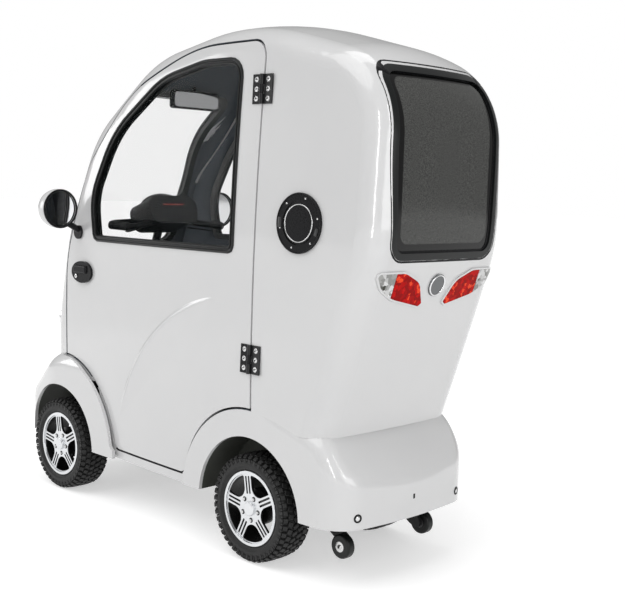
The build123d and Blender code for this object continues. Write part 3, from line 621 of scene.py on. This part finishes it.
def ringOfRows(mesh, rows, closed, caps=False):
    made = [[mesh.verts.new(point) for point in row] for row in rows]
    count = len(made)
    for i in range(count if closed else count - 1):
        ahead = made[(i + 1) % count]
        for j in range(len(ahead) - (0 if caps else 1)):
            k = (j + 1) % len(ahead)
            mesh.faces.new((made[i][j], made[i][k], ahead[k], ahead[j]))


def makeRearBorder(s):
    tree = surfaceOf("cabin_shell", "rear_window_frame", "rear_window")
    outer = roundedLoop(wholeLoop(s["corners"]), s["step"])
    bands = [insetLoop(outer, inset) for inset, lift in s["bands"]]
    rows = []
    for points in zip(*bands):
        placed = [endPoint(tree, point.x, point.y) for point in points]
        if any(place is None for place, normal in placed):
            continue
        outward = placed[0][1]
        low, high = placed[0][0], placed[-1][0]
        row = [low - outward * s["sunk"]]
        for (inset, lift), (place, normal) in zip(s["bands"], placed):
            level = low.lerp(high, inset / s["bands"][-1][0])
            row.append(Vector((place.x, level.y, place.z)) + outward * s["proud"] * lift)
        row.append(high - outward * s["sunk"])
        rows.append(row)
    mesh = bmesh.new()
    ringOfRows(mesh, rows, True, caps=True)
    bmesh.ops.recalc_face_normals(mesh, faces=mesh.faces)
    newPiece("rearWindowBorder", mesh, "root", [finishes["black_plastic"]], angle=50)


def makeCrease(s, side, sign):
    tree = surfaceOf("door_" + side)

    def sideX(turn, offset):
        reach = s["radius"] + offset
        y = s["y"] + midY + reach * math.cos(turn)
        z = s["z"] + reach * math.sin(turn)
        place = tree.ray_cast(Vector((s["rayFrom"] * sign, y, z)), Vector((-sign, 0, 0)))[0]
        return None if place is None else Vector((abs(place.x), y, z))

    rows = []
    for i in range(s["steps"] + 1):
        share = i / s["steps"]
        turn = math.radians(s["from"] + (s["to"] - s["from"]) * share)
        fade = min(1.0, share / s["fade"], (1 - share) / s["fade"])
        inner = sideX(turn, s["inner"])
        crest = sideX(turn, s["crest"])
        outer = sideX(turn, s["outer"])
        if inner is None or crest is None or outer is None:
            continue
        crest.x += s["proud"] * fade - s["sunk"] * (1 - fade)
        inner.x -= s["sunk"]
        outer.x -= s["sunk"]
        row = []
        for low, high in ((inner, crest), (crest, outer)):
            for j in range(s["rows"]):
                part = j / s["rows"]
                point = low.lerp(high, part)
                smooth = part * part * (3 - 2 * part)
                point.x = low.x + (high.x - low.x) * smooth
                row.append(point)
        row.append(outer)
        rows.append([Vector((sign * p.x, p.y, p.z)) for p in row])
    mesh = bmesh.new()
    ringOfRows(mesh, rows, False)
    bmesh.ops.recalc_face_normals(mesh, faces=mesh.faces)
    if sum(face.normal.x * sign for face in mesh.faces) < 0:
        bmesh.ops.reverse_faces(mesh, faces=mesh.faces)
    bmesh.ops.solidify(mesh, geom=mesh.faces[:], thickness=s["thick"])
    newPiece("doorCrease" + side.capitalize(), mesh, "door_" + side, [finishes["white_shell"]],
             angle=60)


makeRearBorder(rearBorder)
for side, sign in pairs:
    makeCrease(crease, side, sign)
print("rear window border and door creases")


# Hinge screws

hinges = {
    "y": 0.5275, "tops": (1.404, 0.6215), "stand": 0.008, "leafFace": -0.0035, "across": 0.0245, "apart": 0.0275,
    "head": 0.0062, "rise": 0.0028, "washer": 0.00775, "washerDepth": 0.0005, "socket": 0.0026,
    "socketSunk": 0.0004, "socketDepth": 0.0006,
}


def makeHingeScrews(s):
    high = flankX(s["y"], s["tops"][0])
    low = flankX(s["y"], s["tops"][1])
    lean = math.atan2(low - high, s["tops"][0] - s["tops"][1])
    for side, sign in pairs:
        for leaf, body, way in (("Door", "door_" + side, -1), ("Post", "root", 1)):
            mesh = bmesh.new()
            for z in s["tops"]:
                place = Matrix.Translation(spot(flankX(s["y"], z) + s["stand"], s["y"], z)) @ Matrix.Rotation(
                    -lean, 4, "Y")
                for row in (-1, 0, 1):
                    at = place @ Matrix.Translation((s["leafFace"], way * s["across"], row * s["apart"]))
                    top = at @ Matrix.Translation((s["rise"] - s["socketSunk"], 0, 0))
                    addDisc(mesh, at, s["washer"], s["washerDepth"], 24, index=1)
                    addDome(mesh, at, s["head"], s["rise"])
                    addDisc(mesh, top, s["socket"], s["socketDepth"], 6, index=1)
            newPiece("hingeScrews" + leaf + side.capitalize(), mirrored(mesh, sign), body,
                     [extras["boltSteel"], finishes["frame_steel"]])


makeHingeScrews(hinges)
print("hinge screws")


# Side cap, tail disc and bumper bolts

sideCap = {
    "y": 0.706, "z": 1.028, "stand": 0.005, "ring": 0.0525, "ringThick": 0.0017, "screwCircle": 0.0725,
    "steps": 96, "screws": 6, "screwStart": 12.0, "screw": 0.0030, "screwRise": 0.0018, "lipRing": 0.0835,
    "lipThick": 0.0020, "tabCircle": 0.073, "tabRound": 0.0016,
    # turn in degrees, size
    "tabs": ((180.0, (0.004, 0.014, 0.030)), (-18.0, (0.005, 0.011, 0.022))),
}
tailDisc = {"z": 0.864, "radius": 0.0302, "thick": 0.0024, "steps": 72}
bumper = {"boltX": 0.224, "boltZ": 0.212, "ring": 0.0105, "ringThick": 0.0024, "head": 0.0078, "rise": 0.003,
          "plug": (0.0, 0.240), "plugSize": (0.002, 0.010, 0.016), "plugSunk": 0.0009,
          "plugRound": 0.0009}


def makeTrim():
    s = sideCap
    place = flankFrame(s["y"], s["z"], s["stand"])
    mesh = bmesh.new()
    addRing(mesh, place, s["ring"], s["ringThick"], s["steps"])
    addRing(mesh, place, s["lipRing"], s["lipThick"], s["steps"], index=2)
    for i in range(s["screws"]):
        turn = Matrix.Rotation(math.radians(s["screwStart"] + 360 / s["screws"] * i), 4, "X")
        addDome(mesh, place @ turn @ Matrix.Translation((0, s["screwCircle"], 0)), s["screw"], s["screwRise"])
    for turn, size in s["tabs"]:
        at = place @ Matrix.Rotation(math.radians(turn), 4, "X") @ Matrix.Translation((0, s["tabCircle"], 0))
        addBlock(mesh, at, size, s["tabRound"], 2, index=1)
    newPiece("sideCapTrim", mesh, "root",
             [extras["boltSteel"], extras["darkGrey"], finishes["black_plastic"]])
    tail = surfaceOf("tail_disc", "cabin_shell")
    point, outward = endPoint(tail, 0, tailDisc["z"])
    mesh = bmesh.new()
    addRing(mesh, facing(point, outward), tailDisc["radius"], tailDisc["thick"], tailDisc["steps"])
    newPiece("tailDiscRing", mesh, "root", [finishes["bright_trim"]])
    back = surfaceOf("tail_body")
    mesh = bmesh.new()
    for sign in (1, -1):
        point, outward = endPoint(back, sign * bumper["boltX"], bumper["boltZ"])
        at = facing(point, outward)
        addRing(mesh, at, bumper["ring"], bumper["ringThick"], 32, index=1)
        addDome(mesh, at, bumper["head"], bumper["rise"])
    point, outward = endPoint(back, *bumper["plug"])
    sunk = point - outward * bumper["plugSunk"]
    addBlock(mesh, facing(sunk, outward), bumper["plugSize"], bumper["plugRound"], 2, index=1)
    newPiece("bumperBolts", mesh, "root", [extras["boltSteel"], finishes["black_plastic"]])


makeTrim()
print("cap, disc and bumper trim")


# Lining of the cabin, the doors and the floor, laid on the inner faces

lining = {
    "coreX": 0.1, "coreY": (-0.28, 0.68), "coreZ": (0.62, 1.3), "least": 0.6, "thick": 0.0016,
    "floorCoreY": (-0.2, 0.2), "floorCoreZ": 0.42, "merge": 0.00002,
}


def clamp(value, low, high):
    return max(low, min(high, value))


def innerFaces(nodeName, yRange, zRange):
    mesh = bmesh.new()
    mesh.from_mesh(nodes[nodeName].data)
    bmesh.ops.remove_doubles(mesh, verts=mesh.verts, dist=lining["merge"])
    mesh.normal_update()
    outer = []
    for face in mesh.faces:
        middle = face.calc_center_median()
        core = Vector((clamp(middle.x, -lining["coreX"], lining["coreX"]),
                       clamp(middle.y, yRange[0] + midY, yRange[1] + midY), clamp(middle.z, *zRange)))
        if face.normal.dot((core - middle).normalized()) < lining["least"]:
            outer.append(face)
    bmesh.ops.delete(mesh, geom=outer, context="FACES")
    return mesh


def makeLinings():
    whole = (lining["coreY"], lining["coreZ"])
    low = (lining["floorCoreY"], (lining["floorCoreZ"], lining["floorCoreZ"]))
    for nodeName, pieceName, body, mat, ranges in (
        ("cabin_shell", "cabinLining", "root", extras["lining"], whole),
        ("door_left", "doorLiningLeft", "door_left", extras["lining"], whole),
        ("door_right", "doorLiningRight", "door_right", extras["lining"], whole),
        ("floor_tub", "floorLining", "root", extras["carpet"], low),
    ):
        piece = newPiece(pieceName, innerFaces(nodeName, *ranges), body, [mat], angle=40)
        layer = piece.modifiers.new("thickness", "SOLIDIFY")
        layer.thickness = lining["thick"]
        layer.offset = 1.0


makeLinings()
print("linings")


# Tiller: cowl, display, knob, levers and grips on the head

tiller = {
    "head": (0, -0.300, 1.010), "lean": 20.0,
    "cowl": (0.082, 0.056, 0.046), "cowlPlace": (0, -0.012, 0.034), "screen": (0.104, 0.050, 0.007),
    "screenPlace": (0, 0.026, 0.0525), "screenRound": 0.003, "knob": 0.015, "knobPlace": (-0.074, 0.030, 0.050),
    "knobTall": 0.020, "knobRound": 0.003, "collar": 0.006, "collarThick": 0.0012,
    "strip": (0.090, 0.004, 0.004), "stripPlace": (0, 0.0615, 0.018), "stripRound": 0.001,
    "gripFrom": (0.2315, -0.302, 0.9735), "gripTo": (0.2085, -0.2290, 0.9708), "grip": 0.01395,
    "gripRound": 0.002, "gripRings": 9, "gripRing": 0.0129, "gripRingThick": 0.0024,
    "leverFrom": (0.105, -0.300, 0.962), "leverTo": (0.190, -0.262, 0.952), "lever": (0.016, 0.005),
    "leverRound": 0.002,
}


def endsOf(first, last, sign):
    return [spot(x * sign, y, z) for x, y, z in (first, last)]


def makeTillerParts(s):
    head = Matrix.Translation(spot(*s["head"])) @ Matrix.Rotation(math.radians(s["lean"]), 4, "X")
    mesh = bmesh.new()
    cowl = head @ Matrix.Translation(s["cowlPlace"]) @ Matrix.Diagonal((*s["cowl"], 1))
    bmesh.ops.create_uvsphere(mesh, u_segments=40, v_segments=24, radius=1.0, matrix=cowl)
    addBlock(mesh, head @ Matrix.Translation(s["screenPlace"]), s["screen"], s["screenRound"], 3, index=1)
    upright = head @ Matrix.Translation(s["knobPlace"]) @ Matrix.Rotation(-math.pi / 2, 4, "Y")
    addDisc(mesh, upright, s["knob"], s["knobTall"], 32, bevel=s["knobRound"])
    addRing(mesh, upright @ Matrix.Translation((s["collar"], 0, 0)), s["knob"], s["collarThick"], 32)
    addBlock(mesh, head @ Matrix.Translation(s["stripPlace"]), s["strip"], s["stripRound"], 2, index=2)
    for sign in (1, -1):
        start, finish = endsOf(s["leverFrom"], s["leverTo"], sign)
        at = facing((start + finish) / 2, finish - start)
        addBlock(mesh, at, ((finish - start).length, *s["lever"]), s["leverRound"], 2)
    newPiece("tillerDetails", mesh, "tiller",
             [finishes["black_plastic"], extras["screen"], extras["accentRed"]])
    mesh = bmesh.new()
    for sign in (1, -1):
        start, finish = endsOf(s["gripFrom"], s["gripTo"], sign)
        along = facing(start, finish - start)
        length = (finish - start).length
        addDisc(mesh, along, s["grip"], length, 28, bevel=s["gripRound"])
        for i in range(s["gripRings"]):
            at = along @ Matrix.Translation((length * (i + 0.5) / s["gripRings"], 0, 0))
            addRing(mesh, at, s["gripRing"], s["gripRingThick"], 28, 8)
    newPiece("tillerGrips", mesh, "tiller", [finishes["black_rubber"]])


makeTillerParts(tiller)
print("tiller details")


# Mirrors and door handles

mirrors = {
    "x": 0.362, "y": -0.428, "z": 1.024, "lip": 0.0155, "ring": 0.0641, "ringThick": 0.0036,
    "roomPlace": (0, -0.1275, 1.412), "roomSize": (0.192, 0.0016, 0.050), "roomCorner": 0.012,
    # door handle and lock: y and z, then the lock's place from there
    "handle": (-0.388, 0.804), "handleProud": 0.013, "lock": (-0.030, -0.016), "lockRadius": 0.0075,
    "lockDepth": 0.003, "lockRound": 0.0008, "slot": (0.0006, 0.0012, 0.007), "slotRound": 0.0002,
}


def makeMirrorParts(s):
    for side, sign in pairs:
        mesh = bmesh.new()
        place = facing(spot(s["x"], s["y"] + s["lip"], s["z"]), Vector((0, 1, 0)))
        addRing(mesh, place, s["ring"], s["ringThick"], 72, 12)
        y, z = s["handle"]
        lock = spot(flankX(y, z) + s["handleProud"], y + s["lock"][0], z + s["lock"][1])
        at = facing(lock, Vector((1, 0, 0)))
        addDisc(mesh, at, s["lockRadius"], s["lockDepth"], 28, bevel=s["lockRound"], index=1)
        addBlock(mesh, at @ Matrix.Translation((s["lockDepth"], 0, 0)), s["slot"], s["slotRound"])
        newPiece("mirrorRing" + side.capitalize(), mirrored(mesh, sign), "door_" + side,
                 [finishes["black_plastic"], extras["boltSteel"]])
    mesh = bmesh.new()
    made = bmesh.ops.create_cube(mesh, size=1, matrix=Matrix.Translation(spot(*s["roomPlace"]))
                                 @ Matrix.Diagonal((*s["roomSize"], 1)))
    across = [e for e in {e for v in made["verts"] for e in v.link_edges}
              if abs((e.verts[0].co - e.verts[1].co).y) > s["roomSize"][1] / 2]
    roundEdges(mesh, across, s["roomCorner"], 5)
    newPiece("roomMirrorGlass", mesh, "root", [finishes["mirror_face"]])


makeMirrorParts(mirrors)
print("mirror and handle details")


# Bolts of the anti-tip wheels

tipBolts = {"x": 0.180, "y": 0.800, "z": 0.100, "half": 0.014, "hub": 0.016, "hubDepth": 0.0012,
            "hubRound": 0.0005, "head": 0.0072, "rise": 0.0045}


def makeTipBolts(s):
    for side, sign in pairs:
        mesh = bmesh.new()
        for way in (1, -1):
            at = facing(spot(s["x"] + way * s["half"], s["y"], s["z"]), Vector((way, 0, 0)))
            addDisc(mesh, at, s["hub"], s["hubDepth"], 32, bevel=s["hubRound"], index=1)
            if way > 0:
                addDome(mesh, at @ Matrix.Translation((s["hubDepth"], 0, 0)), s["head"], s["rise"])
        newPiece("antiTipBolt" + side.capitalize(), mirrored(mesh, sign), "anti_tip_wheel_" + side,
                 [extras["boltSteel"], extras["darkGrey"]])


makeTipBolts(tipBolts)
print("anti-tip bolts")


# Seat cushions, puffed up as cloth

seat = {
    "shrink": 0.012, "corner": 0.028, "voxel": 0.006, "pressure": 4.0, "quality": 5, "frames": 20, "most": 0.012,
    "channels": (-0.105, 0.105), "channelWide": 0.006, "channelDeep": 0.007, "channelReach": 3, "smooth": 0.4,
    "backLean": 14.0, "backPlace": (0, 0.450, 0.960), "backBelow": 0.300, "backAbove": 0.330,
    "backHalfWide": 0.1837, "backHalfDeep": 0.045,
    "cushionPlace": (0, 0.120, 0.6103), "cushionHalf": (0.205, 0.210, 0.0497),
}


def puffed(name, half, s):
    mesh = bmesh.new()
    size = [2 * (h - s["shrink"]) for h in half]
    bmesh.ops.create_cube(mesh, size=1, matrix=Matrix.Diagonal((*size, 1)))
    roundEdges(mesh, mesh.edges[:], s["corner"], 4)
    data = bpy.data.meshes.new(name)
    mesh.to_mesh(data)
    mesh.free()
    pad = linkedObject(name, data)
    remesh = pad.modifiers.new("remesh", "REMESH")
    remesh.mode = "VOXEL"
    remesh.voxel_size = s["voxel"]
    flat = bpy.data.meshes.new_from_object(pad.evaluated_get(bpy.context.evaluated_depsgraph_get()))
    pad.modifiers.clear()
    pad.data = flat
    before = [v.co.copy() for v in flat.vertices]
    cloth = pad.modifiers.new("cloth", "CLOTH")
    cloth.settings.use_pressure = True
    cloth.settings.uniform_pressure_force = s["pressure"]
    cloth.settings.effector_weights.gravity = 0
    cloth.settings.quality = s["quality"]
    cloth.point_cache.frame_end = s["frames"]
    scene = bpy.context.scene
    for step in range(1, s["frames"] + 1):
        scene.frame_set(step)
    swollen = bpy.data.meshes.new_from_object(pad.evaluated_get(bpy.context.evaluated_depsgraph_get()))
    scene.frame_set(1)
    pad.modifiers.clear()
    pad.data = swollen
    for vertex, start in zip(swollen.vertices, before):
        move = vertex.co - start
        if move.length > s["most"]:
            vertex.co = start + move * (s["most"] / move.length)
    mesh = bmesh.new()
    mesh.from_mesh(pad.data)
    bpy.data.objects.remove(pad)
    return mesh


def sewChannels(mesh, top, s):
    for vertex in mesh.verts:
        if vertex.co[top[0]] * top[1] < 0:
            continue
        for line in s["channels"]:
            near = abs(vertex.co.x - line) / s["channelWide"]
            if near < s["channelReach"]:
                vertex.co[top[0]] -= top[1] * s["channelDeep"] * math.exp(-near * near)


def makeSeat(s):
    cushion = puffed("cushionForm", s["cushionHalf"], s)
    sewChannels(cushion, (2, 1), s)
    bmesh.ops.translate(cushion, vec=spot(*s["cushionPlace"]), verts=cushion.verts)
    backHalf = (s["backHalfWide"], s["backHalfDeep"], (s["backBelow"] + s["backAbove"]) / 2)
    back = puffed("backForm", backHalf, s)
    sewChannels(back, (1, -1), s)
    up = (s["backAbove"] - s["backBelow"]) / 2
    place = (Matrix.Translation(spot(*s["backPlace"])) @ Matrix.Rotation(math.radians(-s["backLean"]), 4, "X")
             @ Matrix.Translation((0, 0, up)))
    bmesh.ops.transform(back, matrix=place, verts=back.verts)
    for name, mesh, node, fill in (("seatPad", cushion, "seat_cushion", 0.8), ("backPad", back, "seat_back", 0.8)):
        bmesh.ops.smooth_vert(mesh, verts=mesh.verts, factor=s["smooth"], use_axis_x=True, use_axis_y=True,
                              use_axis_z=True)
        piece = newPiece(name, mesh, "root", [finishes["seat_cover"]], angle=180)
        finer = piece.modifiers.new("finer", "SUBSURF")
        finer.levels = 1
        finer.render_levels = 1
        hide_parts(node)


makeSeat(seat)
print("seat")


# Studio: pale floor, white surround, one broad soft sun and a few strip lamps for the gloss

studio = {
    "floorSize": 80.0, "floorColour": (0.74, 0.74, 0.74), "floorGlow": 0.5, "floorRough": 0.9,
    "surround": 0.5, "glossSurround": 0.36, "sun": 0.95, "sunAngle": 50.0, "sunFrom": (0.9, -0.2, 1.6),
    "lamps": (
        # place, aimed at, width, height, watts
        ((3.8, 3.6, 2.0), (0.2, 0.6, 1.2), 0.45, 3.2, 40),
        ((0.8, 4.2, 2.6), (0.0, 0.6, 1.2), 0.18, 2.2, 10),
        ((2.5, -3.5, 1.7), (0.2, 0.0, 0.8), 1.6, 1.5, 26),
        ((-0.4, 0.4, 4.2), (0.0, 0.3, 1.5), 1.2, 2.0, 16),
        ((0.5, 4.6, 1.3), (0.0, 0.8, 0.5), 2.4, 1.4, 26),
    ),
}


def makeStudio(s):
    mesh = bmesh.new()
    bmesh.ops.create_grid(mesh, x_segments=1, y_segments=1, size=s["floorSize"] / 2)
    data = bpy.data.meshes.new("studioFloor")
    mesh.to_mesh(data)
    mesh.free()
    floor = linkedObject("studioFloor", data)
    mat, tree, shader = newMaterial("floorPaper")
    shader.inputs["Base Color"].default_value = (*s["floorColour"], 1)
    shader.inputs["Roughness"].default_value = s["floorRough"]
    shader.inputs["Specular IOR Level"].default_value = 0.0
    shader.inputs["Emission Color"].default_value = (1, 1, 1, 1)
    path = tree.nodes.new("ShaderNodeLightPath")
    seen = addMath(tree, "MAXIMUM", path.outputs["Is Camera Ray"], path.outputs["Is Transmission Ray"])
    seen = addMath(tree, "MAXIMUM", seen, path.outputs["Is Glossy Ray"])
    tree.links.new(addMath(tree, "MULTIPLY", seen, s["floorGlow"]), shader.inputs["Emission Strength"])
    data.materials.append(mat)

    world = bpy.data.worlds.new("studioSurround")
    bpy.context.scene.world = world
    world.use_nodes = True
    tree = world.node_tree
    plain = tree.nodes["Background"]
    plain.inputs["Color"].default_value = (1, 1, 1, 1)
    path = tree.nodes.new("ShaderNodeLightPath")
    seen = addMath(tree, "MAXIMUM", path.outputs["Is Camera Ray"], path.outputs["Is Transmission Ray"])
    glossy = path.outputs["Is Glossy Ray"]
    strength = addMath(tree, "MULTIPLY", seen, 1.0 - s["surround"])
    strength = addMath(tree, "ADD", strength, s["surround"])
    dimmed = addMath(tree, "MULTIPLY", glossy, s["glossSurround"] - s["surround"])
    tree.links.new(addMath(tree, "ADD", strength, dimmed), plain.inputs["Strength"])

    sunData = bpy.data.lights.new("softSun", "SUN")
    sunData.energy = s["sun"]
    sunData.angle = math.radians(s["sunAngle"])
    sun = linkedObject("softSun", sunData)
    sun.rotation_euler = (-Vector(s["sunFrom"])).to_track_quat("-Z", "Y").to_euler()
    for count, (place, aim, width, height, watts) in enumerate(s["lamps"]):
        lampData = bpy.data.lights.new(f"softLamp{count}", "AREA")
        lampData.shape = "RECTANGLE"
        lampData.size = width
        lampData.size_y = height
        lampData.energy = watts
        lamp = linkedObject(f"softLamp{count}", lampData)
        lamp.location = spot(*place)
        lamp.rotation_euler = (spot(*aim) - lamp.location).to_track_quat("-Z", "Y").to_euler()
    bpy.context.scene.view_settings.view_transform = "Standard"


makeStudio(studio)
print("studio in place")
